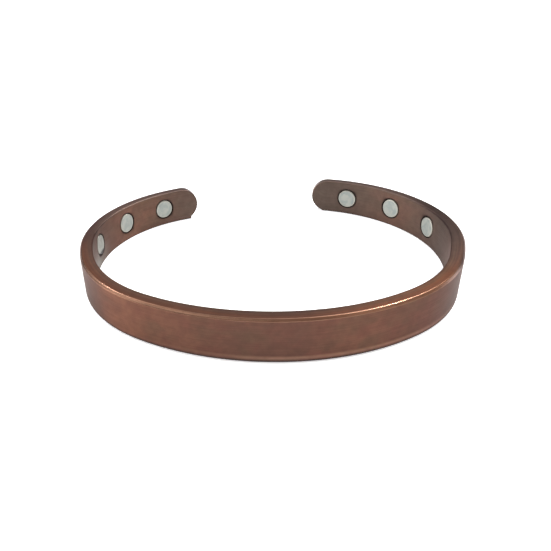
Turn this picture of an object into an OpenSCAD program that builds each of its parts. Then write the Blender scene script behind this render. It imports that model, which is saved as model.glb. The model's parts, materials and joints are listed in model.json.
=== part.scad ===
// Open copper cuff bracelet with round magnets set into the inner wall near both ends.
// Millimetres. The cuff stands on its lower long edge: +Z is up, the closed front
// faces -Y and the opening between the ends faces +Y. The origin is under the middle
// of the cuff's outline, on the surface that it stands on.

/* [Strip] */
// Length of the strip before bending, along the face that touches the wrist
strip_len = 165; // [145:1:190]
// Width of the strip, which is the height of the cuff as it stands
strip_w = 7.4; // [6:0.1:14]
// Thickness of the strip
strip_t = 2.3; // [1.9:0.05:3.5]
// Bevel along both outer edges
outer_bevel = 0.35; // [0.1:0.05:0.6]
// Bevel along both inner edges, which only breaks the corner
inner_bevel = 0.15; // [0.05:0.05:0.4]

/* [Ends] */
// How far in from the right tip the lower edge stops in a small corner
right_corner_in = 2.5; // [1.2:0.1:3.5]
// How far in from the left tip the lower edge stops in a small corner
left_corner_in = 1.7; // [1.2:0.1:3.5]

/* [Magnets] */
// Diameter of a disc magnet
magnet_d = 4.0; // [2.5:0.1:5]
// Thickness of a disc magnet
magnet_t = 1.2; // [0.6:0.05:1.5]
// Rounding of a magnet's rim, made as a bevel
magnet_rim = 0.12; // [0.05:0.01:0.25]
// Gap all round a magnet in its pocket
pocket_gap = 0.16; // [0.05:0.01:0.3]
// Layer of glue between a magnet and the pocket's floor
glue_t = 0.05; // [0.02:0.01:0.1]
// How far a magnet's face stands out of the wall at its middle
stand_out = 0.1; // [0:0.01:0.3]
// From the tip to the middle of the first magnet, along the inner wall
first_magnet = 8.2; // [6.5:0.1:12]
// From one magnet's middle to the next, along the inner wall
magnet_pitch = 10.9; // [7:0.1:14]

/* [Hidden] */
$fn = 96;

// The bend of each half, from the middle of the front to the tip.
// Columns: length of the arc, inner radius, both as shares of the strip's length.
// The last arc runs on to the tip. Each half was bent a little differently.
ARC_LEN = 0;
ARC_R = 1;
right_bend = [
    [0.110, 0.223],
    [0.085, 0.150],
    [0.036, 0.398],
    [0.269, 0.154]];
left_bend = [
    [0.142, 0.241],
    [0.109, 0.150],
    [0.021, 0.306],
    [0.228, 0.149]];

// How far each magnet was set from its mark by hand, first the one nearest the tip.
// Columns: towards the tip, up. In millimetres.
OFF_ALONG = 0;
OFF_UP = 1;
right_off = [
    [-0.05, 0],
    [0.05, 0.15],
    [-0.15, 0]];
left_off = [
    [-0.1, 0.1],
    [0.05, 0.2],
    [-0.45, 0.35]];

magnets_per_end = 3;
half_len = strip_len / 2;
end_r = strip_w / 2;
mid_z = strip_w / 2;
pocket_r = magnet_d / 2 + pocket_gap;
pocket_depth = magnet_t + glue_t - stand_out;
// Room that a cutting solid takes beyond the metal
spare = 1;
// Number of steps in which the outline of each half is measured, to centre it
outline_steps = 160;

copper = [0.52, 0.34, 0.26];
nickel = [0.72, 0.74, 0.73];

// Radii and bends are kept to three decimals, so that one arc's end face is the next one's start
function snap(value) = round(value * 1000) / 1000;

// A place on the inner wall is [x, y, heading in degrees], starting at the front
function arc_len(bend, i) = bend[i][ARC_LEN] * strip_len;
function arc_r(bend, i) = snap(bend[i][ARC_R] * strip_len);
function turned(len, r) = snap(len / r * 180 / PI);
function centre(place, r) = [place[0] - r * sin(place[2]), place[1] + r * cos(place[2])];
function along(place, len, r) =
    let (c = centre(place, r), heading = place[2] + turned(len, r))
    [c[0] + r * sin(heading), c[1] - r * cos(heading), heading];

// The place at which arc i of a half starts, and the place at a length from the front
function arc_start(bend, i) =
    i == 0 ? [0, 0, 0] : along(arc_start(bend, i - 1), arc_len(bend, i - 1), arc_r(bend, i - 1));
function walked(bend, i) = i == 0 ? 0 : walked(bend, i - 1) + arc_len(bend, i - 1);
function place_at(bend, len, i = 0) =
    i == len(bend) - 1 || len < walked(bend, i + 1)
        ? along(arc_start(bend, i), len - walked(bend, i), arc_r(bend, i))
        : place_at(bend, len, i + 1);
function outside(place) = [place[0] + strip_t * sin(place[2]), place[1] - strip_t * cos(place[2])];

// The outline's reach to each side, which puts the origin under its middle
function rim(bend) =
    [for (i = [0:outline_steps]) outside(place_at(bend, half_len * i / outline_steps))];
right_rim = rim(right_bend);
left_rim = rim(left_bend);
right_tip = right_rim[outline_steps];
left_tip = left_rim[outline_steps];
reach_right = max([for (p = right_rim) p[0]]);
reach_left = max([for (p = left_rim) p[0]]);
reach_back = max(right_tip[1], left_tip[1]);
mid_x = (reach_right - reach_left) / 2;
mid_y = (reach_back - strip_t) / 2;

// Section of the strip, with its wrist side at radius r
module strip_section(r) {
    polygon([
        [r, inner_bevel],
        [r + inner_bevel, 0],
        [r + strip_t - outer_bevel, 0],
        [r + strip_t, outer_bevel],
        [r + strip_t, strip_w - outer_bevel],
        [r + strip_t - outer_bevel, strip_w],
        [r + inner_bevel, strip_w],
        [r, strip_w - inner_bevel]]);
}

// A coarse and then a fine move, which lands on the spot to a millionth of a millimetre
module move_to(spot) {
    coarse = [snap(spot[0]), snap(spot[1]), 0];
    translate(coarse)
        translate([spot[0] - coarse[0], spot[1] - coarse[1], 0])
            children();
}

module bent_arc(place, len, r) {
    move_to(centre(place, r))
        rotate_extrude(angle = turned(len, r), start = place[2] - 90)
            strip_section(r);
}

// One half of the strip, square at its end
module half_strip(bend) {
    last = len(bend) - 1;
    for (i = [0:last - 1])
        bent_arc(arc_start(bend, i), arc_len(bend, i), arc_r(bend, i));
    bent_arc(arc_start(bend, last), half_len - walked(bend, last), arc_r(bend, last));
}

// Puts a shape on the inner wall: its +X runs on to the tip and its +Y points at the wrist
module on_wall(bend, len) {
    place = place_at(bend, len);
    translate([place[0], place[1], 0])
        rotate([0, 0, place[2]])
            children();
}

// What is cut away to round an end. The lower edge keeps a small square corner.
module end_cut(bend, corner_in) {
    side = strip_t + 2 * spare;
    on_wall(bend, half_len)
        difference() {
            translate([-end_r, -strip_t - spare, -spare])
                cube([end_r + spare, side, strip_w + 2 * spare]);
            translate([-end_r, spare, mid_z])
                rotate([90, 0, 0])
                    cylinder(r = end_r, h = side);
            translate([-end_r - spare, -strip_t - spare, -spare])
                cube([end_r + spare - corner_in, side, mid_z + spare]);
        }
}

// Distance along the inner wall from the front to magnet k of an end, and the magnet's height
function magnet_at(off, k) =
    half_len - first_magnet - (k - 1) * magnet_pitch + off[k - 1][OFF_ALONG];
function magnet_z(off, k) = mid_z + off[k - 1][OFF_UP];

module pocket(bend, off, k) {
    on_wall(bend, magnet_at(off, k))
        translate([0, spare, magnet_z(off, k)])
            rotate([90, 0, 0])
                cylinder(r = pocket_r, h = pocket_depth + spare);
}

// A disc magnet with both rims broken, glued on the floor of its pocket
module disc(bend, off, k) {
    r = magnet_d / 2;
    color(nickel)
        on_wall(bend, magnet_at(off, k))
            translate([0, -pocket_depth + glue_t, magnet_z(off, k)])
                rotate([-90, 0, 0])
                    rotate_extrude()
                        polygon([
                            [0, 0],
                            [r - magnet_rim, 0],
                            [r, magnet_rim],
                            [r, magnet_t - magnet_rim],
                            [r - magnet_rim, magnet_t],
                            [0, magnet_t]]);
}

module centred() {
    translate([-mid_x, -mid_y, 0])
        children();
}

module on_left() {
    mirror([1, 0, 0])
        children();
}

module cuff_band() {
    color(copper)
        centred()
            difference() {
                union() {
                    half_strip(right_bend);
                    on_left()
                        half_strip(left_bend);
                }
                end_cut(right_bend, right_corner_in);
                on_left()
                    end_cut(left_bend, left_corner_in);
                for (k = [1:magnets_per_end]) {
                    pocket(right_bend, right_off, k);
                    on_left()
                        pocket(left_bend, left_off, k);
                }
            }
}

module magnet_right(k) {
    centred()
        disc(right_bend, right_off, k);
}

module magnet_left(k) {
    centred()
        on_left()
            disc(left_bend, left_off, k);
}

cuff_band();
magnet_right(1);  // magnet_right_1
magnet_right(2);  // magnet_right_2
magnet_right(3);  // magnet_right_3
magnet_left(1);  // magnet_left_1
magnet_left(2);  // magnet_left_2
magnet_left(3);  // magnet_left_3
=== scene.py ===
import json
import math

import bmesh
import bpy
import numpy as np
from mathutils import Matrix, Vector

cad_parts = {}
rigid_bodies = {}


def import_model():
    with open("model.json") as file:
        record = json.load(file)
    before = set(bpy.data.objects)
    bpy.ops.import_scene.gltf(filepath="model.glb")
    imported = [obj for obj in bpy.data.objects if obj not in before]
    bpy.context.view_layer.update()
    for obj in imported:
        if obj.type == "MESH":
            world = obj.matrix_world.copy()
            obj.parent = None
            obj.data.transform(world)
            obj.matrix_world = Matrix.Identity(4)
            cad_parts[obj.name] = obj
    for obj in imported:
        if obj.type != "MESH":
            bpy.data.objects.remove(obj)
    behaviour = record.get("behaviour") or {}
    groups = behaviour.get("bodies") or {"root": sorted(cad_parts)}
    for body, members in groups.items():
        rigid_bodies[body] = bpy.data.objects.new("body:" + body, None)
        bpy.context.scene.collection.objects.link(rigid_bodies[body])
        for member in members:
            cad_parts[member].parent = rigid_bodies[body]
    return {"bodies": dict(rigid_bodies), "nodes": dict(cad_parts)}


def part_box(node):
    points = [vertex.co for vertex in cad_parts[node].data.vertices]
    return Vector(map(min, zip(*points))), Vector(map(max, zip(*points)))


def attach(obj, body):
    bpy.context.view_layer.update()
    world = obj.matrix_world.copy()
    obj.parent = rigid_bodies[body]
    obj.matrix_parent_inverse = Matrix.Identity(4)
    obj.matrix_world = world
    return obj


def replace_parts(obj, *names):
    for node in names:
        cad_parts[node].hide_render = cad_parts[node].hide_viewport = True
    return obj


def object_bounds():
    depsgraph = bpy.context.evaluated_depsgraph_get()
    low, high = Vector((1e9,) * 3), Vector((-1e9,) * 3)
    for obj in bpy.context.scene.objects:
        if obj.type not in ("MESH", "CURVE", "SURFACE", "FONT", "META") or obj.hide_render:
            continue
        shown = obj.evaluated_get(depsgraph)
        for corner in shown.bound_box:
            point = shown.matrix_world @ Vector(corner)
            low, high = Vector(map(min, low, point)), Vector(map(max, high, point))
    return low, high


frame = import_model()
cadLow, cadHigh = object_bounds()
metresPerMm = 0.001
boxSize = [round(v / metresPerMm, 2) for v in cadHigh - cadLow]
print("frame loaded:", len(frame["nodes"]), "pieces, box", boxSize, "mm")

root = next(iter(frame["bodies"]))  # the cuff has no joints, so everything rides on one body

# The copper strip, in millimetres. The bends are the frame's own: each row is an arc's length
# and its wrist-side radius, as shares of the strip's length, from the middle of the front to a tip.
strip = {
    "length": 165.0,
    "width": 7.4,
    "thickness": 2.3,
    "rightBend": [(0.110, 0.223), (0.085, 0.150), (0.036, 0.398), (0.269, 0.154)],
    "leftBend": [(0.142, 0.241), (0.109, 0.150), (0.021, 0.306), (0.228, 0.149)],
    "outerBevel": 0.35,
    "innerBevel": 0.15,
    "endBevel": 0.12,       # what is left of the bevel round the ends
    "cornerReach": (0.05, 0.05, 0.085, 0.08),   # how far each long corner's rounding, with its wear and painted highlight, runs, wrist side first
    "rimCrown": 0.015,      # how far the rims rise from their corners to their middle
    "armStart": 50,         # how far from the middle the arms start
    "armWearAndHighlight": 0.25,        # share of rubbed copper and painted highlight on the inner corner of the rim along the arms
    "rimWearAndHighlight": 0.8,         # the most of it on the corner between the upper rim and its bevel
    "lowWearAndReflection": 0.25,        # the most of it low on the outer face
    "lowEdgeShade": 0.9,         # share of painted shade on the lower rim and its bevels
    "frontDark": 0.2,       # share of darker skin all over the outer face, and twice that near its bottom as painted shade
    "darkRamp": (-0.3, 1.2),    # how the two halves of an edge share their darkening, first and last row
    "rimStart": 0.6,        # how much of the rim's own look the corners at the wrist come to
    "outerFrom": 0.3,       # where the colour of the rim's outer half starts, and over how much it grows
    "outerOver": 0.4,
    "bevelOuter": 0.4,      # share of that colour on the bevel
    "inside": 0.005,        # how far the outer face stays within the frame's box
    "rightCornerIn": 2.5,   # from each tip back to the small square corner of the lower edge
    "leftCornerIn": 1.7,
    "cornerStep": 0.05,     # half the length over which that corner drops
    "outlinePlaces": 2001,  # places at which the outline is measured
    "cornerColumns": 5,
    "columnStep": 0.55,
    "endColumns": 30,
    "cornerPoints": 5,
    "wallRows": (0.04, 0.25),   # how far from each long edge the wall's first rows lie
    # where the rows lie across the rim, across its outer bevel and down the outer face
    "rimShares": (0.06, 0.2, 0.35, 0.5, 0.65, 0.8, 0.94),
    "bevelShares": (0.2, 0.5, 0.8),
    "frontShares": (0.008, 0.05, 0.15, 0.35, 0.5, 0.65, 0.85, 0.92, 0.96, 0.992),
    "frontWearAndReflection": (0, 0, 0, 0, 0, 0, 0, 1, 0.4, 0),   # how much rubbed copper and painted reflection each row of the outer face has
}

# The pockets and the discs in them, in millimetres.
magnet = {
    "first": 8.2,           # from the tip to the first disc's middle
    "pitch": 10.9,
    "diameter": 4.0,
    "thickness": 1.2,
    "gap": 0.16,
    "glue": 0.05,
    "standOut": 0.1,        # how far a face stands out of the wall at its middle
    "rightOff": [(-0.05, 0), (0.05, 0.15), (-0.15, 0)],   # towards the tip, up
    "leftOff": [(-0.1, 0.1), (0.05, 0.2), (-0.45, 0.35)],
    # where each pocket's painted shade is heaviest, in degrees up from the way that leads to the right end:
    # the three at the left end and then the three at the right end, each from its tip
    "shadeWay": (225, 225, 270, 110, 60, 80),
    "evenStainAndShade": 0.55,      # share of the stain and painted shade that is the same all round
    "stainAndShadeStrength": 1.6,
    "ringShares": (0.3, 0.6, 0.82, 0.94, 1.0),   # rings of the wall, from the square to the mouth
    "ringStainAndShade": (0, 0.06, 0.3, 0.6, 0.9),       # dark stain and painted shade on each of them
    "mouthSteps": 3,        # rings of the mouth's rounding
    "sideShares": (0.15, 0.4, 0.7, 0.97, 1.0),   # rings down the pocket's side
    "floorShares": (0.97, 0.6, 0.3),             # rings on its floor
    "faceShares": (0.25, 0.5, 0.7, 0.8, 0.88, 0.95),   # rings of a disc's flat face
    "dishOver": 0.25,       # the share of the face over which its dish comes up to the rim
    "highlightFrom": 0.86,        # where the painted highlight on the rim starts, and over how much it grows
    "highlightOver": 0.12,
    "rimPoints": 6,
    "rightDull": (0, 0, 0),   # share of a darker grey on each face
    "leftDull": (0.1, 0.15, 0.8),
    "rightDirt": (0, 0, 0),   # share of painted shadow at the lower end of each face
    "leftDirt": (0, 0, 1),
    "endShadowFrom": 1.2,        # how far under the middle the painted shadow starts, and where it is thick
    "endShadowThick": 1.45,
    "rimRound": 0.16,
    "dish": 0.015,          # how far the middle of the face is lower than its rim
    "pocketEdge": 0.06,     # worn radius of the pocket's mouth
    "patchHalf": 2.75,      # half the side of the square of wall that is meshed round a pocket
    "patchSteps": 16,
    "sides": 96,
}

tip = strip["length"] / 2
endRadius = strip["width"] / 2
middle = strip["width"] / 2
pocketRadius = magnet["diameter"] / 2 + magnet["gap"]
pocketDepth = magnet["thickness"] + magnet["glue"] - magnet["standOut"]
rightOff, leftOff = np.array(magnet["rightOff"]), np.array(magnet["leftOff"])
rightPlaces = tip - magnet["first"] - magnet["pitch"] * np.arange(len(rightOff)) + rightOff[:, 0]
leftPlaces = tip - magnet["first"] - magnet["pitch"] * np.arange(len(leftOff)) + leftOff[:, 0]


# Walks one half of the strip. Each arc turns the heading by its length over its radius, and a
# place on it is the arc's centre plus the radius, turned by the heading.
def walkHalf(shares, distance):
    x = np.zeros_like(distance)
    y = np.zeros_like(distance)
    heading = np.zeros_like(distance)
    startX = startY = startHeading = passed = 0.0
    for lengthShare, radiusShare in shares:
        length = lengthShare * strip["length"]
        radius = radiusShare * strip["length"]
        centreX = startX - radius * math.sin(startHeading)
        centreY = startY + radius * math.cos(startHeading)
        here = distance >= passed
        turned = startHeading + (distance - passed) / radius
        x = np.where(here, centreX + radius * np.sin(turned), x)
        y = np.where(here, centreY - radius * np.cos(turned), y)
        heading = np.where(here, turned, heading)
        startHeading += length / radius
        startX = centreX + radius * math.sin(startHeading)
        startY = centreY - radius * math.cos(startHeading)
        passed += length
    return x, y, heading


# The wrist-side line of the whole strip: its place and its outward normal at a signed length,
# where lengths below zero walk the left half, mirrored.
def wristLine(along):
    side = np.where(along >= 0, 1.0, -1.0)
    right = walkHalf(strip["rightBend"], np.maximum(along, 0))
    left = walkHalf(strip["leftBend"], np.maximum(-along, 0))
    x, y, heading = (np.where(along >= 0, r, l) for r, l in zip(right, left))
    return np.stack([side * x, y], -1), np.stack([side * np.sin(heading), -np.cos(heading)], -1)


# The bends are shifted so that the middle of their outline is the middle of the frame's band.
outline, outward = wristLine(np.linspace(-tip, tip, strip["outlinePlaces"]))
outline = outline + strip["thickness"] * outward
bandLow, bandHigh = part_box("cuff_band")
bandMiddle = np.array([(bandLow.x + bandHigh.x) / 2, (bandLow.y + bandHigh.y) / 2]) / metresPerMm
shift = bandMiddle - (outline.min(0) + outline.max(0)) / 2


# Bends flat strip places round the wrist: the wrist-side line's place at that length, moved out
# along the normal, with its height kept, in metres.
def bent(along, out, height):
    place, normal = wristLine(along)
    flat = place + shift + out[..., None] * normal
    return np.concatenate([flat, height[..., None]], -1) * metresPerMm


# A mesh from arrays of vertices, quads and triangles, with one value a vertex for each attribute.
def meshFrom(name, vertices, quads, triangles, attributes):
    mesh = bpy.data.meshes.new(name)
    mesh.from_pydata(vertices, [], quads.tolist() + triangles.tolist())
    for key, values in attributes.items():
        kind, field = ("FLOAT_VECTOR", "vector") if values.ndim == 2 else ("FLOAT", "value")
        layer = mesh.attributes.new(key, kind, "POINT")
        layer.data.foreach_set(field, values.astype(np.float32).ravel())
    samePlace, noLength = 1e-8, 1e-9   # metres
    work = bmesh.new()
    work.from_mesh(mesh)
    bmesh.ops.remove_doubles(work, verts=work.verts, dist=samePlace)
    bmesh.ops.dissolve_degenerate(work, edges=work.edges, dist=noLength)
    if work.calc_volume(signed=True) < 0:
        bmesh.ops.reverse_faces(work, faces=work.faces)
    work.to_mesh(mesh)
    work.free()
    mesh.shade_smooth()
    piece = bpy.data.objects.new(name, mesh)
    bpy.context.scene.collection.objects.link(piece)
    return piece


# The columns of half the band's grid, from the middle of the front to the tip: even steps along
# the straight part, and an angle that grows to a right angle round the end. The last array is 0
# up to the square corner of the lower edge and 1 beyond it, by the smooth step 3tt - 2ttt.
def halfColumns(cornerIn, discPlaces):
    straight = tip - endRadius
    half = magnet["patchHalf"]
    patchEnds = np.sort(np.concatenate([discPlaces - half, discPlaces + half]))
    stops = np.concatenate([[0], patchEnds, [straight]])
    spans = []
    for i, (start, end) in enumerate(zip(stops[:-1], stops[1:])):
        steps = magnet["patchSteps"] if i % 2 else math.ceil((end - start) / strip["columnStep"])
        spans.append(np.linspace(start, end, steps, endpoint=False))
    along = np.concatenate(spans)
    step = strip["cornerStep"]
    offsets = step * np.linspace(-1, 1, strip["cornerColumns"])
    nearCorner = np.arcsin((endRadius - cornerIn + offsets) / endRadius)
    angle = np.sort(np.concatenate([np.linspace(0, math.pi / 2, strip["endColumns"]), nearCorner]))
    along = np.concatenate([along, straight + endRadius * np.sin(angle)])
    angle = np.concatenate([np.zeros(len(along) - len(angle)), angle])
    t = np.clip((along - (tip - cornerIn) + step) / (2 * step), 0, 1)
    return along, angle, t * t * (3 - 2 * t)


# A long edge's profile from the wrist side to the outer side, as (inset, out) for each column:
# the four corners of a rim with two bevels, each rounded by a quadratic curve. Between the middle
# two the rim is crowned: its inset is the crown times the squared distance from its middle.
def edgeProfile(outerBevel):
    innerBevel, crown = strip["innerBevel"], strip["rimCrown"]
    thick = strip["thickness"] - strip["inside"]
    one = np.ones_like(outerBevel)
    rimWide = thick - outerBevel - innerBevel
    slope = 4 * crown / rimWide
    corners = np.stack([
        np.stack([innerBevel * one, 0 * one], -1),
        np.stack([crown * one, innerBevel * one], -1),
        np.stack([crown * one, thick - outerBevel], -1),
        np.stack([outerBevel, thick * one], -1)], 1)
    # the way into and out of each corner
    faces = np.stack([
        np.stack([-one, 0 * one], -1),
        corners[:, 1] - corners[:, 0],
        np.stack([-slope, one], -1),
        np.stack([slope, one], -1),
        corners[:, 3] - corners[:, 2],
        np.stack([one, 0 * one], -1)], 1)
    faces = faces / np.linalg.norm(faces, axis=-1, keepdims=True)
    reach = np.array(strip["cornerReach"])[None, :, None]
    before = (corners - reach * faces[:, [0, 1, 3, 4]])[:, :, None]
    after = (corners + reach * faces[:, [1, 2, 4, 5]])[:, :, None]
    q = np.linspace(0, 1, strip["cornerPoints"])[:, None]
    rounds = (1 - q) ** 2 * before + 2 * q * (1 - q) * corners[:, :, None] + q ** 2 * after
    rim = between(rounds[:, 1, -1], rounds[:, 2, 0], strip["rimShares"])
    rim[..., 0] = crown * (2 * (rim[..., 1] - innerBevel) / rimWide[:, None] - 1) ** 2
    bevel = between(rounds[:, 2, -1], rounds[:, 3, 0], strip["bevelShares"])
    return np.concatenate([rounds[:, 0], rounds[:, 1], rim, rounds[:, 2], bevel, rounds[:, 3]], 1)


# Places on the straight way from each start to its end, at the given shares of it.
def between(start, end, shares):
    share = np.array(shares)[:, None]
    return start[:, None] * (1 - share) + end[:, None] * share


# How the skin changes along the strip, as pairs of a length in millimetres and a share.
patina = {
    # wear and painted highlight on the corner between the upper rim and its bevel, painted light on
    # that bevel, wear and painted highlight on the corner between the bevel and the outer face, and wear
    # and painted reflection low on the outer face
    "rimWearAndHighlight": [
        (-70, 0.2), (-50, 0.2), (-38, 0.45), (-32, 1), (-24, 0.8), (-15, 0.25), (0, 0.06), (6, 0.3),
        (10, 0.85), (13, 1), (16, 0.7), (20, 0.45), (24, 0.2), (30, 0.1), (50, 0.15), (70, 0.15)],
    "bevelWearAndLight": [(-42, 0), (-35, 0.4), (-12, 0.4), (0, 0)],
    "faceWearAndHighlight": [
        (-40, 0.05), (-25, 0.05), (-16, 0.3), (-5, 0.35), (5, 0.35), (15, 0.2), (22, 0.1), (40, 0.1)],
    "lowWearAndReflection": [(-30, 0.1), (-15, 0.3), (-5, 1), (18, 1), (28, 0.3), (40, 0.1)],
    # painted reflection of the floor, low on the inner wall, which fades out between two heights
    "floorReflection": [(-57, 0), (-52, 0.5), (-50, 1), (-45, 1), (-42, 0)],
    "floorReflectionHeight": (1.5, 4.4),
    # grey skin on the walls and the bevel, then on the upper rim
    "grey": [
        (-80, 0.7), (-70, 0.4), (-60, 0.4), (-52, 0.7), (-46, 1), (-37, 0.8), (-30, 0.1), (-20, 0),
        (20, 0), (23, 0.25), (27, 0.9), (31, 1), (46, 1), (55, 0.7), (62, 0.5), (72, 0.7), (80, 0.8)],
    "rimGrey": [
        (-80, 0.7), (-62, 0.45), (-54, 0.25), (-46, 0), (26, 0), (32, 0.35), (40, 0.65), (47, 0.7),
        (60, 0.6), (80, 0.9)],
    "armGrey": 0.8,     # on the corners between the inner wall and the rim, along the arms
    # warmer colour along the strip: partly a warmer patina, partly painted light on the left of the outer
    # face
    "warmAndLit": [
        (-74, 0.3), (-68, 0.8), (-62, 0.5), (-57, 0.2), (-50, 0.1), (-34, 0.2), (-28, 1), (-24, 0.85),
        (-19, 0.5), (-14, 0.35), (-8, 0.05), (0, 0), (5, 0.35), (10, 0.4), (15, 0.2), (20, 0), (30, 0),
        (60, 0.5), (66, 0.3), (75, 0)],
    # how even the skin is at a length to either side, on the inner wall and on the outer face,
    # and how grey it is there and how much of the warmer colour it has
    "calmBehind": [(30, 0.8), (46, 0)],
    "calmOutside": [(36, 0), (52, 0.7)],
    "calmGrey": 0.4,
    "calmWarm": 0.3,
    # darkening of the upper rim, its half at the wrist and its outer half, and of its outer bevel
    "innerDark": [
        (-80, 0.6), (-72, 0.35), (-60, 0.45), (-50, 0.7), (-45, 0.5), (-38, 0.3), (-30, 0.45),
        (-20, 0.55), (-10, 0.7), (0, 0.82), (8, 0.3), (12, 0.1), (15, 0.1), (20, 0), (25, 0),
        (32, 0.38), (40, 0.73), (46, 0.95), (53, 0.83), (60, 0.35), (66, 0.1), (72, 0.2), (80, 0.3)],
    "outerDark": [
        (-80, 0.8), (-72, 0.7), (-60, 0.75), (-50, 0.75), (-45, 0.4), (-38, 0), (-28, 0), (-20, 0.05),
        (-10, 0.15), (0, 0.15), (8, 0.3), (15, 0.3), (20, 0), (28, 0), (34, 0.05), (40, 0.15),
        (46, 0.1), (53, 0.8), (66, 0.9), (72, 0.9), (80, 0.6)],
    "bevelDark": [
        (-80, 0.2), (-40, 0.05), (-10, 0.08), (21, 0.05), (25, 0.3), (29, 0.7), (45, 0.7), (80, 0.3)],
}


# The share that a row of the patina has at each length, straight from one pair to the next.
def shareAlong(key, lengths):
    return np.interp(lengths, *np.array(patina[key]).T)


# The band is a closed profile carried along the bend. At the ends the profile turns about the
# middle of the end's half circle, so its rows come together at the tip. The wall round each
# pocket is a ring grid from a square to a circle, then goes down the pocket's straight side.
def makeBand():
    rightAlong, rightAngle, rightRound = halfColumns(strip["rightCornerIn"], rightPlaces)
    leftAlong, leftAngle, leftRound = halfColumns(strip["leftCornerIn"], leftPlaces)
    along = np.concatenate([-leftAlong[:0:-1], rightAlong])
    angle = np.concatenate([leftAngle[:0:-1], rightAngle])
    lowRound = np.concatenate([leftRound[:0:-1], rightRound])
    side = np.where(along >= 0, 1.0, -1.0)
    columns = len(along)

    drop = endRadius * (1 - np.cos(angle))
    top = edgeProfile(np.maximum(strip["endBevel"], strip["outerBevel"] - drop))
    low = edgeProfile(np.maximum(strip["endBevel"], strip["outerBevel"] - lowRound * drop))
    # along, out and height of each point of the upper and the lower edge
    upper = np.stack([
        along[:, None] - side[:, None] * top[..., 0] * np.sin(angle)[:, None],
        top[..., 1],
        (strip["width"] - drop)[:, None] - top[..., 0] * np.cos(angle)[:, None]], -1)
    lower = np.stack([
        along[:, None] - side[:, None] * low[..., 0] * (lowRound * np.sin(angle))[:, None],
        low[..., 1],
        (lowRound * drop)[:, None] + low[..., 0] * (1 - lowRound * (1 - np.cos(angle)))[:, None]], -1)

    half = magnet["patchHalf"]
    wallLow, wallHigh = lower[columns // 2, 0, 2], upper[columns // 2, 0, 2]
    wallRows = np.array(strip["wallRows"])
    heights = np.concatenate([
        wallLow + wallRows,
        np.linspace(middle - half, middle + half, magnet["patchSteps"] + 1),
        wallHigh - wallRows[::-1]])
    wall = between(lower[:, 0], upper[:, 0], (heights - wallLow) / (wallHigh - wallLow))
    front = between(upper[:, -1], lower[:, -1], strip["frontShares"])
    grid = np.concatenate([wall, upper, front, lower[:, ::-1]], 1)
    rows = grid.shape[1]

    # rows of the grid: the inner wall, the upper edge by its parts, and the outer face
    points = strip["cornerPoints"]
    firstUpper, edge = wall.shape[1], upper.shape[1]
    firstFront = firstUpper + edge
    wholeEdge = slice(firstUpper, firstFront)
    innerCorners = slice(firstUpper, firstUpper + 2 * points)
    rimInnerCorner = slice(firstUpper + points, innerCorners.stop)
    faceCorner = slice(firstFront - points, firstFront)
    bevelRows = slice(faceCorner.start - len(strip["bevelShares"]), faceCorner.start)
    rimCorner = slice(bevelRows.start - points, bevelRows.start)
    onWall, onFront = slice(0, firstUpper), slice(firstFront, -edge)

    # 1 where wear has rubbed the copper bright; the same share carries painted highlights on the corners,
    # painted light on the outer bevel and a painted reflection low on the outer face
    lengths = along[:, None]
    onArms = np.abs(along) > strip["armStart"]
    hump = np.sin(np.linspace(0, math.pi, points))
    wearAndHighlight = np.zeros((columns, rows))
    wearAndHighlight[onArms, rimInnerCorner] = strip["armWearAndHighlight"] * hump
    wearAndHighlight[:, rimCorner] = strip["rimWearAndHighlight"] * hump * shareAlong("rimWearAndHighlight", lengths)
    wearAndHighlight[:, bevelRows] = shareAlong("bevelWearAndLight", lengths)
    wearAndHighlight[:, faceCorner] = hump * shareAlong("faceWearAndHighlight", lengths)
    wearAndHighlight[:, onFront] = strip["lowWearAndReflection"] * shareAlong("lowWearAndReflection", lengths) * np.array(strip["frontWearAndReflection"])

    # rim is 1 on the narrow faces, and outer is the share of the second colour there
    rim, outer = np.zeros((2, columns, rows))
    rim[:, wholeEdge] = 1
    rim[:, innerCorners] = np.linspace(0, strip["rimStart"], 2 * points)
    rim[:, faceCorner] = np.linspace(1, 0, points)
    growing = (np.array(strip["rimShares"]) - strip["outerFrom"]) / strip["outerOver"]
    outer[:, innerCorners.stop:rimCorner.start] = np.clip(growing, 0, 1)
    outer[:, rimCorner.start:bevelRows.stop] = strip["bevelOuter"]
    outer[:, faceCorner] = np.linspace(strip["bevelOuter"], 0, points)
    for values in (rim, outer):
        values[:, -edge:] = values[:, wholeEdge][:, ::-1]   # the lower edge is the same, upside down

    # darkening: along the upper edge by its own curves, even on the outer face, and painted shade near
    # the bottom of the outer face and on the lower edge
    darkenedAndShaded = np.zeros((columns, rows))
    outerShare = np.clip(np.linspace(*strip["darkRamp"], edge), 0, 1)
    innerDark, outerDark = shareAlong("innerDark", lengths), shareAlong("outerDark", lengths)
    darkenedAndShaded[:, wholeEdge] = innerDark * (1 - outerShare) + outerDark * outerShare
    darkenedAndShaded[:, bevelRows.start:firstFront] = shareAlong("bevelDark", lengths)
    darkenedAndShaded[:, onFront] = strip["frontDark"]
    # painted shade near the bottom of the outer face and over the lower edge
    darkenedAndShaded[:, -edge - 2] = 2 * strip["frontDark"]
    darkenedAndShaded[:, -edge - 1:] = strip["lowEdgeShade"]

    vertices = bent(grid[..., 0], grid[..., 1], grid[..., 2]).reshape(-1, 3)
    girth = np.zeros((columns, rows))
    stepLength = np.linalg.norm(np.diff(grid[..., 1:], axis=1), axis=-1)
    girth[:, 1:] = np.cumsum(stepLength, 1)
    flat = np.stack([grid[..., 0], girth, 0 * girth], -1).reshape(-1, 3)

    index = np.arange(columns * rows).reshape(columns, rows)
    nextRow = np.roll(index, -1, 1)
    quads = np.stack([index[:-1], index[1:], nextRow[1:], nextRow[:-1]], -1)
    keep = np.ones(quads.shape[:2], bool)

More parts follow.
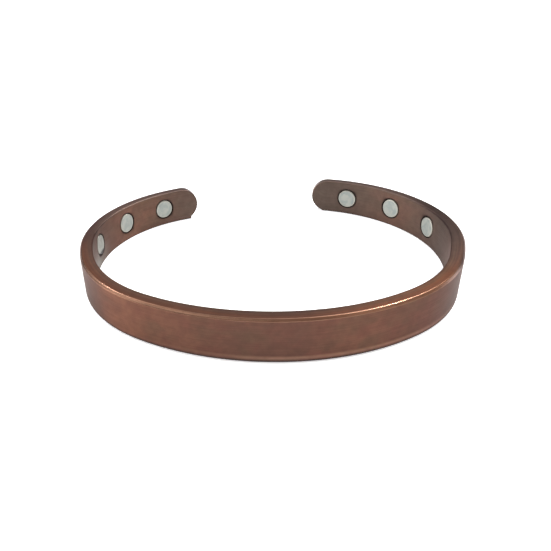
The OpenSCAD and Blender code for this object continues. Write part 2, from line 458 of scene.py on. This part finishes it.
    # a square of the wall is left out round each pocket, and its outline is kept as a ring
    steps = magnet["patchSteps"]
    firstRow = len(wallRows)
    places = np.concatenate([-leftPlaces, rightPlaces])
    heightsUp = middle + np.concatenate([leftOff[:, 1], rightOff[:, 1]])[:, None]
    firstColumns = np.abs(along[None] - (places - half)[:, None]).argmin(1)
    squares = []
    for column in firstColumns:
        keep[column:column + steps, firstRow:firstRow + steps] = False
        square = index[column:column + steps + 1, firstRow:firstRow + steps + 1]
        sides = [square[:-1, 0], square[-1, :-1], square[:0:-1, -1], square[0, :0:-1]]
        squares.append(np.concatenate(sides))
    squares = np.array(squares)
    quads = quads[keep]

    # the ring grids: flat places that run from the square to the circle of the pocket's mouth
    squareAlong = grid[..., 0].ravel()[squares]
    squareHeight = grid[..., 2].ravel()[squares]
    mouthWay = np.arctan2(squareHeight - heightsUp, squareAlong - places[:, None])
    mouth = pocketRadius + magnet["pocketEdge"]
    mouthAlong = (places[:, None] + mouth * np.cos(mouthWay))[:, None]
    mouthHeight = (heightsUp + mouth * np.sin(mouthWay))[:, None]
    share = np.array(magnet["ringShares"])[None, :, None]
    ringAlong = squareAlong[:, None] * (1 - share) + mouthAlong * share
    ringHeight = squareHeight[:, None] * (1 - share) + mouthHeight * share
    ringWorld = bent(ringAlong, 0 * ringAlong, ringHeight)

    # the pocket: straight down from its mouth, as (radius, share of the way down, depth under the mouth)
    origin, outwards = wristLine(places)
    origin = origin + shift
    tangent = np.stack([-outwards[:, 1], outwards[:, 0]], -1)
    mouthWorld = ringWorld[:, -1] / metresPerMm
    away = mouthWorld[..., :2] - origin[:, None]
    mouthX = np.einsum("pkc,pc->pk", away, tangent)
    mouthOut = np.einsum("pkc,pc->pk", away, outwards)
    edgeSize = magnet["pocketEdge"]
    q = np.linspace(0, 1, magnet["mouthSteps"] + 1)[1:]
    sideShares, floorShares = np.array(magnet["sideShares"]), np.array(magnet["floorShares"])
    radii = np.concatenate([
        pocketRadius + edgeSize * (1 - q) ** 2,
        np.full(len(sideShares), pocketRadius),
        pocketRadius * floorShares])
    down = np.concatenate([0 * q, sideShares, np.ones(len(floorShares))])[None, :, None]
    under = np.concatenate([edgeSize * q ** 2, np.full(len(radii) - len(q), edgeSize)])[None, :, None]
    scale = (radii / mouth)[None, :, None]
    pocketX = mouthX[:, None] * scale
    pocketZ = heightsUp[:, None] + (mouthWorld[..., 2] - heightsUp)[:, None] * scale
    pocketOut = (mouthOut[:, None] + under) * (1 - down) + pocketDepth * down
    pocketFlat = origin[:, None, None] + pocketX[..., None] * tangent[:, None, None] \
        + pocketOut[..., None] * outwards[:, None, None]
    pocketWorld = np.concatenate([pocketFlat, pocketZ[..., None]], -1) * metresPerMm
    floorMiddle = np.concatenate([origin + pocketDepth * outwards, heightsUp], -1) * metresPerMm

    added = np.concatenate([ringWorld, pocketWorld], 1)
    pockets, rings, ringSize = added.shape[:3]
    ringIndex = len(vertices) + np.arange(pockets * rings * ringSize).reshape(pockets, rings, ringSize)
    ringIndex = np.concatenate([squares[:, None], ringIndex], 1)
    turned = np.roll(ringIndex, -1, 2)
    ringQuads = np.stack([turned[:, :-1], turned[:, 1:], ringIndex[:, 1:], ringIndex[:, :-1]], -1)
    centres = len(vertices) + added[..., 0].size + np.arange(pockets)
    toCentre = np.broadcast_to(centres[:, None], (pockets, ringSize))
    fan = np.stack([turned[:, -1], toCentre, ringIndex[:, -1]], -1)

    # the skin of every vertex: the grid's, then the rings', then the middles of the pockets' floors
    column = columns // 2
    ringHeights = np.concatenate([ringHeight, pocketZ], 1)
    ringGirth = np.interp(ringHeights, grid[column, onWall, 2], girth[column, onWall])
    ringLengths = np.concatenate([ringAlong, places[:, None, None] + pocketX], 1)
    ringFlat = np.stack([ringLengths, ringGirth, 0 * ringGirth], -1)
    allLengths = np.concatenate([grid[..., 0].ravel(), ringLengths.ravel(), places])
    allHeights = np.concatenate([grid[..., 2].ravel(), ringHeights.ravel(), heightsUp.ravel()])
    # painted reflection of the floor, low on the inner wall
    fadeFrom, fadeTo = patina["floorReflectionHeight"]
    floorReflection = shareAlong("floorReflection", allLengths) * np.clip((fadeTo - allHeights) / (fadeTo - fadeFrom), 0, 1)
    greyed = shareAlong("grey", allLengths)
    # warmer colour, partly painted light on the left of the outer face
    warmedAndLit = shareAlong("warmAndLit", allLengths)
    # the grid's part of each, as a view of the same values
    gridFloorReflection, gridGrey, gridWarmAndLit = (
        values[:columns * rows].reshape(columns, rows) for values in (floorReflection, greyed, warmedAndLit))
    gridFloorReflection[:, firstUpper:] = 0
    gridGrey[:, firstUpper:bevelRows.start] = shareAlong("rimGrey", lengths)
    gridGrey[onArms, innerCorners] = patina["armGrey"]
    # the skin is calmer behind the front and outside the arms
    behind = shareAlong("calmBehind", np.abs(lengths))
    outside = shareAlong("calmOutside", np.abs(lengths))
    gridGrey[:, onWall] += behind * (patina["calmGrey"] - gridGrey[:, onWall])
    gridWarmAndLit[:, onWall] += behind * (patina["calmWarm"] - gridWarmAndLit[:, onWall])
    gridGrey[:, onFront] += outside * (patina["calmGrey"] - gridGrey[:, onFront])

    # the stain round a mouth, partly painted shade, is heavier to one side: an even share plus a cosine of
    # the angle
    shadeWay = np.radians(magnet["shadeWay"])[:, None, None]
    even = magnet["evenStainAndShade"]
    stainAndShadeAround = even + (1 - even) * np.cos(mouthWay[:, None] - shadeWay)
    ringStainAndShade = np.array(magnet["ringStainAndShade"])[:, None]
    pocketStainAndShade = np.ones((pockets, rings, ringSize))
    pocketStainAndShade[:, :len(ringStainAndShade)] = ringStainAndShade
    pocketStainAndShade[:, :len(ringStainAndShade) - 1] *= magnet["stainAndShadeStrength"] * stainAndShadeAround
    pocketStainAndShade = np.clip(pocketStainAndShade, 0, 1).ravel()
    quiet = np.zeros(pocketStainAndShade.size + pockets)

    band = meshFrom(
        "cuffBand",
        np.concatenate([vertices, added.reshape(-1, 3), floorMiddle]),
        np.concatenate([quads, ringQuads.reshape(-1, 4)]),
        fan.reshape(-1, 3),
        {
            "flatPlace": np.concatenate([flat, ringFlat.reshape(-1, 3), np.zeros((pockets, 3))]),
            "wearAndHighlight": np.concatenate([wearAndHighlight.ravel(), quiet]),
            "rim": np.concatenate([rim.ravel(), quiet]),
            "outer": np.concatenate([outer.ravel(), quiet]),
            "greyed": greyed,
            "floorReflection": floorReflection,
            "warmedAndLit": warmedAndLit,
            "darkenedAndShaded": np.concatenate([darkenedAndShaded.ravel(), quiet]),
            # the pockets' dark stain, partly painted shade
            "pocket": np.concatenate([np.zeros(len(vertices)), pocketStainAndShade, np.ones(pockets)]),
        })
    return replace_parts(band, "cuff_band")


# A disc is a profile turned about its pocket's axis: a face with a faint dish, which is the depth
# times the smooth step 3bb - 2bbb, a rim rounded by a quadratic curve, a straight side and the
# same rim and face below.
def makeDisc(name, node, place, height, greyerFace, endShadow):
    radius, thick, rimRound = magnet["diameter"] / 2, magnet["thickness"], magnet["rimRound"]
    q = np.linspace(0, 1, magnet["rimPoints"])
    faceShares = np.array(magnet["faceShares"])
    faceRadius = (radius - rimRound) * faceShares
    bowl = np.clip((faceShares[-1] - faceShares) / magnet["dishOver"], 0, 1)
    dish = magnet["dish"] * bowl * bowl * (3 - 2 * bowl)
    topRadius = np.concatenate([faceRadius, radius - rimRound * (1 - q) ** 2])
    topDepth = np.concatenate([dish, rimRound * q ** 2])
    profileRadius = np.concatenate([topRadius, topRadius[::-1]])
    profileDepth = np.concatenate([topDepth, thick - topDepth[::-1]])
    # painted highlight on the disc's rounded rim
    rim = np.clip((profileRadius / radius - magnet["highlightFrom"]) / magnet["highlightOver"], 0, 1)
    turn = 2 * math.pi * np.arange(magnet["sides"]) / magnet["sides"]
    x = profileRadius[:, None] * np.cos(turn)
    z = profileRadius[:, None] * np.sin(turn)
    depth = np.broadcast_to(profileDepth[:, None], x.shape) - magnet["standOut"]
    origin, outwards = wristLine(np.array([place]))
    origin, outwards = (origin + shift)[0], outwards[0]
    tangent = np.array([-outwards[1], outwards[0]])
    ground = origin + x[..., None] * tangent + depth[..., None] * outwards
    rings = np.concatenate([ground, height + z[..., None]], -1).reshape(-1, 3)
    faces = np.array([magnet["dish"], thick - magnet["dish"]]) - magnet["standOut"]
    poles = np.array([[*(origin + f * outwards), height] for f in faces])
    index = np.arange(x.size).reshape(x.shape)
    turned = np.roll(index, -1, 1)
    quads = np.stack([index[:-1], index[1:], turned[1:], turned[:-1]], -1).reshape(-1, 4)
    first = np.stack([index[0], turned[0], np.full(len(turn), x.size)], -1)
    last = np.stack([index[-1], np.full(len(turn), x.size + 1), turned[-1]], -1)
    flat = np.stack([x, z, 0 * x], -1).reshape(-1, 3)
    # painted shadow at the lower end of the face
    endShadowFrom, endShadowThick = magnet["endShadowFrom"], magnet["endShadowThick"]
    endShadowed = endShadow * np.clip((-z - endShadowFrom) / (endShadowThick - endShadowFrom), 0, 1)
    disc = meshFrom(
        name, np.concatenate([rings, poles]) * metresPerMm, quads, np.concatenate([first, last]),
        {
            "flatPlace": np.concatenate([flat, np.zeros((2, 3))]),
            "rim": np.concatenate([np.repeat(rim, len(turn)), np.zeros(2)]),
            "greyerFace": np.full(x.size + 2, float(greyerFace)),
            "endShadowed": np.concatenate([endShadowed.ravel(), np.zeros(2)]),
        })
    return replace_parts(disc, node)


# A colour as a picture shows it, 0 to 255, turned into the light that the shader works with.
def screenColour(red, green, blue):
    share = np.array([red, green, blue]) / 255
    linear = np.where(share <= 0.04045, share / 12.92, ((share + 0.055) / 1.055) ** 2.4)
    return (*linear.tolist(), 1.0)


# A short hand for building one material's nodes.
class Nodes:
    def __init__(self, name):
        self.material = bpy.data.materials.new(name)
        self.material.use_nodes = True
        self.tree = self.material.node_tree
        self.shader = self.tree.nodes["Principled BSDF"]

    def join(self, value, socket):
        if isinstance(value, bpy.types.NodeSocket):
            self.tree.links.new(value, socket)
        else:
            socket.default_value = value

    def attribute(self, name, output="Fac"):
        node = self.tree.nodes.new("ShaderNodeAttribute")
        node.attribute_name = name
        return node.outputs[output]

    def objectPlace(self):
        return self.tree.nodes.new("ShaderNodeTexCoord").outputs["Object"]

    def stretched(self, vector, scale):
        node = self.tree.nodes.new("ShaderNodeMapping")
        self.join(vector, node.inputs["Vector"])
        node.inputs["Scale"].default_value = scale
        return node.outputs["Vector"]

    def noise(self, vector, scale, detail=3.0, roughness=0.55, distortion=0.0):
        node = self.tree.nodes.new("ShaderNodeTexNoise")
        self.join(vector, node.inputs["Vector"])
        node.inputs["Scale"].default_value = scale
        node.inputs["Detail"].default_value = detail
        node.inputs["Roughness"].default_value = roughness
        node.inputs["Distortion"].default_value = distortion
        return node.outputs["Fac"]

    def spread(self, value, low, high, newLow=0.0, newHigh=1.0):
        node = self.tree.nodes.new("ShaderNodeMapRange")
        node.interpolation_type = "SMOOTHSTEP"
        self.join(value, node.inputs["Value"])
        for key, number in (("From Min", low), ("From Max", high), ("To Min", newLow), ("To Max", newHigh)):
            node.inputs[key].default_value = number
        return node.outputs["Result"]

    def combine(self, operation, first, second):
        node = self.tree.nodes.new("ShaderNodeMath")
        node.operation = operation
        node.use_clamp = True
        self.join(first, node.inputs[0])
        self.join(second, node.inputs[1])
        return node.outputs["Value"]

    def mix(self, share, first, second):
        node = self.tree.nodes.new("ShaderNodeMix")
        self.join(share, node.inputs["Factor"])
        self.join(first, node.inputs["A"])
        self.join(second, node.inputs["B"])
        return node.outputs["Result"]

    def blend(self, share, first, second):
        node = self.tree.nodes.new("ShaderNodeMix")
        node.data_type = "RGBA"
        self.join(share, node.inputs["Factor"])
        self.join(first, node.inputs["A"])
        self.join(second, node.inputs["B"])
        return next(socket for socket in node.outputs if socket.type == "RGBA")

    def bump(self, height, strength, distance):
        node = self.tree.nodes.new("ShaderNodeBump")
        self.join(height, node.inputs["Height"])
        node.inputs["Strength"].default_value = strength
        node.inputs["Distance"].default_value = distance
        return node.outputs["Normal"]


# Antiqued copper: a brown skin with redder and more olive clouds, greyer and warmer by turns along
# the strip, the warmth partly painted light, faint lines of grain, corners rubbed bright and carrying
# painted highlights, painted light on the outer bevel, painted reflections of the floor low on the
# inner wall and low on the outer face, painted shade along the lower edge, and a nearly black skin
# with painted shade in the pockets.
def makeCopper():
    look = {
        "skin": screenColour(98, 69, 58),
        "redSkin": screenColour(106, 68, 58),
        "oliveSkin": screenColour(94, 73, 58),
        "greySkin": screenColour(86, 77, 71),
        "warmAndLitSkin": screenColour(131, 88, 69),
        "rimSkin": screenColour(129, 94, 74),
        "outerSkin": screenColour(131, 84, 61),
        "rimGrey": screenColour(150, 131, 122),
        "darkAndShadeSkin": screenColour(62, 52, 51),
        "bareCopperAndHighlight": screenColour(196, 152, 128),
        "floorReflectionColour": screenColour(129, 129, 123),
        "pocketStainAndShadeSkin": screenColour(30, 24, 22),
        "mottleSkin": (0.03, 0.02, 0.016, 1),
        "grainSkin": (0.02, 0.012, 0.01, 1),
        "redScale": 260,        # how fine each pattern is, for a metre
        "oliveScale": 180,
        "mottleScale": 750,
        "wearScale": 700,
        "oliveStretch": (1, 1, 1.6),
        "grainStretch": (0.12, 9.0, 1.0),   # along and across the strip, for a millimetre
        "streakStretch": (0.06, 3.2, 1.0),
        "cloudShare": 0.5,      # the most that each pattern shows
        "streakShare": 0.3,
        "mottleShare": 0.15,
        "grainShare": 0.16,
        "leastWear": 0.75,      # the least that is left of the wear and painted highlight where it is patchy
        "roughness": (0.46, 0.54),
        "grazingTint": (0.79, 0.69, 0.68, 1),   # how much of the light is left at a shallow angle
        "rimRoughness": 0.3,
        "wornRoughness": 0.12,
        "grainHeight": 0.000004,
        "grainBump": 0.35,
    }
    n = Nodes("antiqueCopper")
    place = n.objectPlace()
    flat = n.attribute("flatPlace", "Vector")
    redClouds = n.noise(place, look["redScale"], detail=3.0, distortion=0.3)
    oliveClouds = n.noise(n.stretched(place, look["oliveStretch"]), look["oliveScale"], detail=2.0)
    mottles = n.noise(place, look["mottleScale"], detail=2.0)
    patches = n.noise(place, look["wearScale"], detail=2.0)
    grain = n.noise(n.stretched(flat, look["grainStretch"]), 1.0, detail=4.0, roughness=0.7)
    streaks = n.noise(n.stretched(flat, look["streakStretch"]), 1.0, detail=3.0)
    # warmer patina, partly painted light on the left of the outer face
    skin = n.blend(n.attribute("warmedAndLit"), look["skin"], look["warmAndLitSkin"])
    skin = n.blend(n.spread(redClouds, 0.4, 0.65, 0, look["cloudShare"]), skin, look["redSkin"])
    skin = n.blend(n.spread(oliveClouds, 0.45, 0.68, 0, look["cloudShare"]), skin, look["oliveSkin"])
    skin = n.blend(n.attribute("greyed"), skin, look["greySkin"])
    # painted reflection of the floor, low on the inner wall
    skin = n.blend(n.attribute("floorReflection"), skin, look["floorReflectionColour"])
    edges = n.blend(n.attribute("outer"), look["rimSkin"], look["outerSkin"])
    edges = n.blend(n.attribute("greyed"), edges, look["rimGrey"])
    edges = n.blend(n.spread(streaks, 0.4, 0.62, 0, look["streakShare"]), edges, look["darkAndShadeSkin"])
    skin = n.blend(n.attribute("rim"), skin, edges)
    # darker skin, with painted shade near the bottom of the outer face and on the lower edge
    skin = n.blend(n.attribute("darkenedAndShaded"), skin, look["darkAndShadeSkin"])
    skin = n.blend(n.spread(mottles, 0.35, 0.65, 0, look["mottleShare"]), skin, look["mottleSkin"])
    # rubbed copper, with painted highlights on the corners, painted light on the bevel and a painted
    # reflection low on the outer face
    wornAndHighlit = n.combine("MULTIPLY", n.attribute("wearAndHighlight"), n.spread(patches, 0.3, 0.6, look["leastWear"], 1.0))
    skin = n.blend(wornAndHighlit, skin, look["bareCopperAndHighlight"])
    skin = n.blend(n.spread(grain, 0.3, 0.7, 0, look["grainShare"]), skin, look["grainSkin"])
    # dark stain and painted shade in the pockets
    skin = n.blend(n.attribute("pocket"), skin, look["pocketStainAndShadeSkin"])
    n.join(skin, n.shader.inputs["Base Color"])
    low, high = look["roughness"]
    satin = n.spread(grain, 0.3, 0.7, low, high)
    satin = n.mix(n.attribute("rim"), satin, look["rimRoughness"])
    n.join(n.mix(n.attribute("wearAndHighlight"), satin, look["wornRoughness"]), n.shader.inputs["Roughness"])
    height = n.mix(n.attribute("wearAndHighlight"), grain, 0.5)   # rubbed copper has no grain
    n.join(n.bump(height, look["grainBump"], look["grainHeight"]), n.shader.inputs["Normal"])
    n.shader.inputs["Metallic"].default_value = 1.0
    n.shader.inputs["Specular Tint"].default_value = look["grazingTint"]
    return n.material


# Satin nickel plating: a grey face with faint stains, a lighter rim that is a painted highlight, and a
# darker grey and a painted shadow at the lower end where a disc has them.
def makeNickel():
    look = {
        "face": screenColour(143, 145, 139),
        "stain": screenColour(134, 139, 136),
        # painted highlight on the rounded rim
        "rim": screenColour(166, 161, 150),
        "greyerFace": screenColour(124, 123, 116),
        "endShadow": screenColour(40, 34, 34),
        "roughness": (0.38, 0.52),
        "stainScale": 700,      # how fine the stains and the bumps are, for a metre
        "bumpScale": 9000,
        "bumpHeight": 0.000004,
        "bumpStrength": 0.2,
    }
    n = Nodes("satinNickel")
    place = n.objectPlace()
    stains = n.noise(place, look["stainScale"], detail=4.0, distortion=0.6)
    colour = n.blend(n.spread(stains, 0.4, 0.62), look["face"], look["stain"])
    # painted highlight on the rounded rim
    colour = n.blend(n.attribute("rim"), colour, look["rim"])
    # a darker grey on some faces
    colour = n.blend(n.attribute("greyerFace"), colour, look["greyerFace"])
    # painted shadow at the lower end of a face
    colour = n.blend(n.attribute("endShadowed"), colour, look["endShadow"])
    n.join(colour, n.shader.inputs["Base Color"])
    low, high = look["roughness"]
    n.join(n.spread(stains, 0.35, 0.7, low, high), n.shader.inputs["Roughness"])
    bumps = n.noise(place, look["bumpScale"], detail=2.0)
    n.join(n.bump(bumps, look["bumpStrength"], look["bumpHeight"]), n.shader.inputs["Normal"])
    n.shader.inputs["Metallic"].default_value = 1.0
    return n.material


band = makeBand()
band.data.materials.append(makeCopper())
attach(band, root)
print("band made:", len(band.data.polygons), "faces")

nickel = makeNickel()
ends = [("right", 1, rightPlaces, rightOff), ("left", -1, leftPlaces, leftOff)]
for sideName, sign, places, offs in ends:
    discLooks = zip(places, offs[:, 1], magnet[f"{sideName}Dull"], magnet[f"{sideName}Dirt"])
    for k, (place, up, greyerFace, endShadow) in enumerate(discLooks, 1):
        node = f"magnet_{sideName}_{k}"
        disc = makeDisc(f"{sideName}Disc{k}", node, sign * place, middle + up, greyerFace, endShadow)
        disc.data.materials.append(nickel)
        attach(disc, root)
print("discs made:", len(rightPlaces) + len(leftPlaces))

# The floor, the light and the camera, in metres and degrees.
studio = {
    "floorReach": 3.0,
    "floorSides": 96,
    "floorColour": (0.9, 0.9, 0.9, 1),
    "floorRoughness": 0.9,
    "floorShine": 0.1,
    "floorGlow": 0.55,      # the floor is a light table, lit from below as well
    "backdropHeight": 2.5,
    "backdropLight": 1.1,
    "roomLight": 0.06,
    "white": (1, 1, 1, 1),
    "black": (0, 0, 0, 1),
    "level": 0.92,          # brightness of all the soft lights together
    # each soft light: compass angle from +X, height angle, width across, brightness
    "lights": [
        ("glint", 44, 49, 6, 125),
        ("backRight", 50, 44, 30, 1.6),
        ("overhead", 105, 65, 88, 0.8),
        ("keyRight", 20, 68, 40, 4.0),
        ("wideLeft", 165, 55, 60, 0.8),
        ("glintLeft", 145, 41, 10, 16),
        ("lowLeft", 180, 5, 30, 9),
        ("front", 272, 50, 90, 0.75),
        ("frontRight", 350, 30, 60, 1.0),
        ("left", 165, 24, 56, 0.7),
        ("back", 88, 22, 44, 0.4),
        ("lowRight", 15, 5, 20, 7),
    ],
}
camera = {
    "aim": (-0.00967, -0.00044, 0.0037),
    "distance": 0.09399,
    "azimuth": -0.74,
    "elevation": 26.35,
    "roll": 2.42,
    "frameWidth": 551,
    "focalPixels": 498.13,
    "centre": (218.45, 251.45),   # where the lens axis meets the picture, in its pixels
    "sensor": 36.0,
    "clipStart": 0.005,
    "clipEnd": 20,
}


# A plain mesh of the stage with one material, whose sockets are given by name.
def makeStagePiece(name, vertices, faces, materialName, sockets):
    mesh = bpy.data.meshes.new(name)
    mesh.from_pydata(vertices, [], faces)
    piece = bpy.data.objects.new(name, mesh)
    bpy.context.scene.collection.objects.link(piece)
    n = Nodes(materialName)
    for socket, value in sockets.items():
        n.shader.inputs[socket].default_value = value
    mesh.materials.append(n.material)
    return piece


# The floor is a wide circle, and a white wall stands round it, which only the camera sees.
def makeFloor():
    reach, sides = studio["floorReach"], studio["floorSides"]
    index = np.arange(sides)
    turn = 2 * math.pi * index / sides
    rim = np.stack([reach * np.cos(turn), reach * np.sin(turn), 0 * turn], -1)
    floor = makeStagePiece("floor", rim, [index.tolist()], "paleFloor", {
        "Base Color": studio["floorColour"],
        "Emission Color": studio["white"],
        "Emission Strength": studio["floorGlow"],
        "Roughness": studio["floorRoughness"],
        "Specular IOR Level": studio["floorShine"],
    })

    top = rim + (0, 0, studio["backdropHeight"])
    after = np.roll(index, -1)
    quads = np.stack([index, after, after + sides, index + sides], -1).tolist()
    wall = makeStagePiece("backdrop", np.concatenate([rim, top]), quads, "whitePaper", {
        "Base Color": studio["black"],
        "Specular IOR Level": 0,
        "Emission Color": studio["white"],
        "Emission Strength": studio["backdropLight"],
    })
    wall.visible_diffuse = wall.visible_glossy = wall.visible_shadow = False


# Each soft light is a round patch of sky without end: a sun as wide as its angle, whose strength
# is its brightness times pi times the squared sine of half that angle.
def makeLights():
    for name, azimuth, elevation, width, brightness in studio["lights"]:
        light = bpy.data.lights.new(name, "SUN")
        light.angle = math.radians(width)
        light.energy = studio["level"] * brightness * math.pi * math.sin(light.angle / 2) ** 2
        a, e = math.radians(azimuth), math.radians(elevation)
        towards = Vector((math.cos(e) * math.cos(a), math.cos(e) * math.sin(a), math.sin(e)))
        lamp = bpy.data.objects.new(name, light)
        lamp.rotation_euler = towards.to_track_quat("Z", "Y").to_euler()
        bpy.context.scene.collection.objects.link(lamp)


# A faint even light from all sides.
def makeWorld():
    world = bpy.data.worlds.new("whiteRoom")
    bpy.context.scene.world = world
    world.use_nodes = True
    background = world.node_tree.nodes["Background"]
    background.inputs["Color"].default_value = studio["white"]
    background.inputs["Strength"].default_value = studio["roomLight"]


# The camera stands back from its aim by the two angles and the distance, and is then rolled about
# its own axis. The shift moves the picture so that the lens axis meets it off its middle.
def makeCamera():
    azimuth, elevation, roll = (math.radians(camera[k]) for k in ("azimuth", "elevation", "roll"))
    level = math.cos(elevation)
    back = Vector((math.sin(azimuth) * level, -math.cos(azimuth) * level, math.sin(elevation)))
    data = bpy.data.cameras.new("camera")
    data.sensor_width = camera["sensor"]
    data.lens = camera["focalPixels"] / camera["frameWidth"] * camera["sensor"]
    half = camera["frameWidth"] / 2
    data.shift_x = (half - camera["centre"][0]) / camera["frameWidth"]
    data.shift_y = (camera["centre"][1] - half) / camera["frameWidth"]
    data.clip_start = camera["clipStart"]
    data.clip_end = camera["clipEnd"]
    obj = bpy.data.objects.new("camera", data)
    bpy.context.scene.collection.objects.link(obj)
    turn = (-back).to_track_quat("-Z", "Y").to_matrix() @ Matrix.Rotation(-roll, 3, "Z")
    obj.matrix_world = Matrix.Translation(Vector(camera["aim"]) + camera["distance"] * back) @ turn.to_4x4()
    bpy.context.scene.camera = obj


makeFloor()
makeLights()
makeWorld()
makeCamera()
bpy.context.scene.view_settings.view_transform = "Standard"
print("floor, light and camera made")
